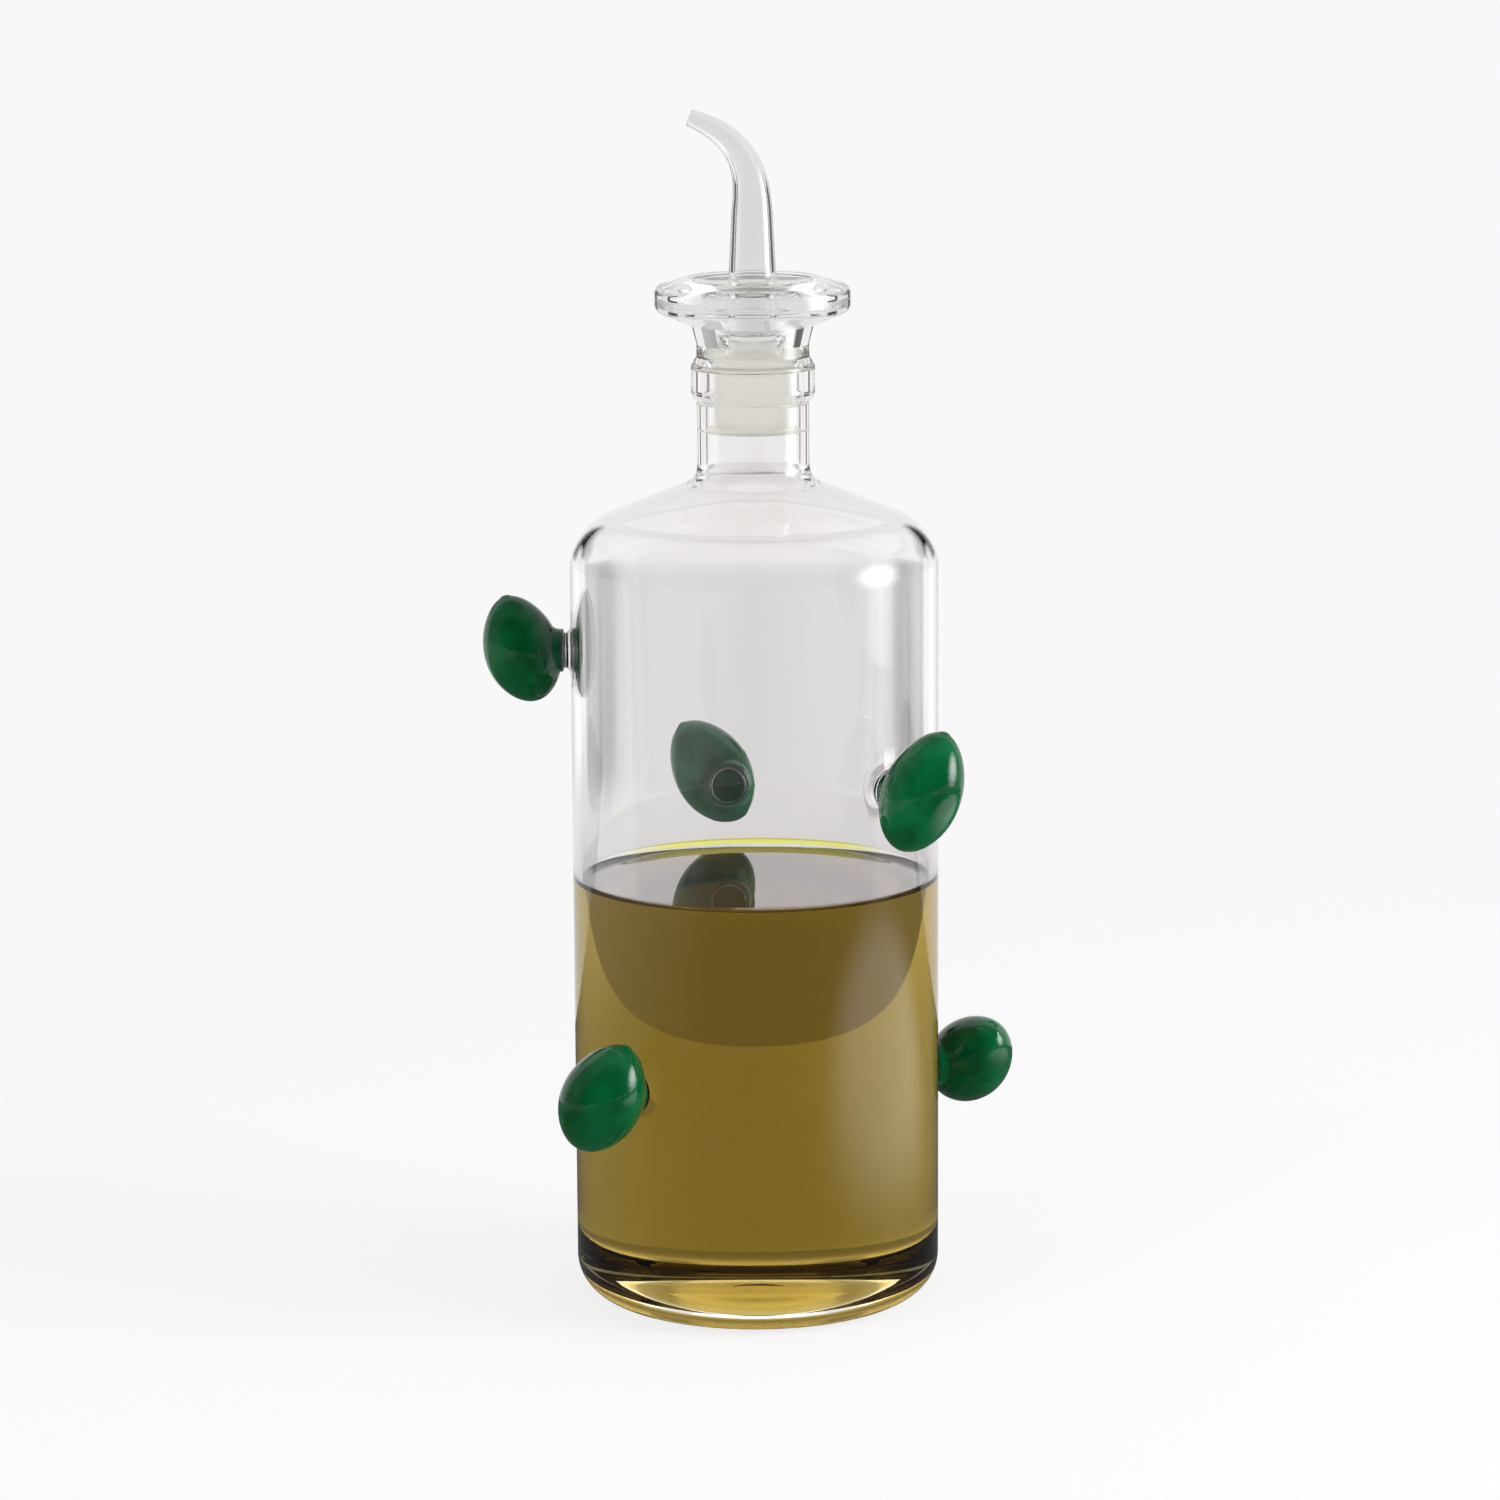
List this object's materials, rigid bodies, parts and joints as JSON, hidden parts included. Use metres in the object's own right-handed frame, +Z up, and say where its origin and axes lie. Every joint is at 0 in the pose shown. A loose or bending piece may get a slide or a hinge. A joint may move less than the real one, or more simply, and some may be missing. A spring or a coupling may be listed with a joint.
{
  "type": "kitchen oil bottle",
  "caption": "Clear glass kitchen oil bottle with green glass olives fused on its wall, a wide flanged lip and a lift-out swan-neck pourer in a ribbed gasket.",
  "frame": {"origin": "centre of the flat standing ring, on the bottle's axis, at the level of the surface that it stands on", "axes": "+Z up along the bottle's axis through the neck; -X is the way the spout points at rest; -Y is the side that carries the two front olives"},
  "size_m": [0.1091, 0.1018, 0.2441],
  "materials": {
    "clear_glass": "polished",
    "green_glass": "polished",
    "olive_oil": "gloss",
    "seal_plastic": "satin"
  },
  "bodies": {
    "bottle": {"bottle_base": "clear_glass", "bottle_body": "clear_glass", "bottle_shoulder": "clear_glass", "neck_socket": "clear_glass", "lip_flange": "clear_glass", "oil_fill": "olive_oil", "olive_stem_1": "clear_glass", "olive_stem_2": "clear_glass", "olive_stem_3": "clear_glass", "olive_stem_4": "clear_glass", "olive_stem_5": "clear_glass", "olive_1": "green_glass", "olive_2": "green_glass", "olive_3": "green_glass", "olive_4": "green_glass", "olive_5": "green_glass"},
    "gasket": {"seal_gasket": "seal_plastic"},
    "pourer": {"stopper_plug": "clear_glass", "pour_tube": "clear_glass"}
  },
  "joints": [
    {"name": "pourer_lift", "type": "slide", "parent": "bottle", "child": "gasket", "axis": [0, 0, 1], "range_m": [0, 0.05]},
    {"name": "spout_turn", "type": "hinge", "parent": "gasket", "child": "pourer", "pos_m": [0, 0, 0.187], "axis": [0, 0, 1], "continuous": true}
  ]
}
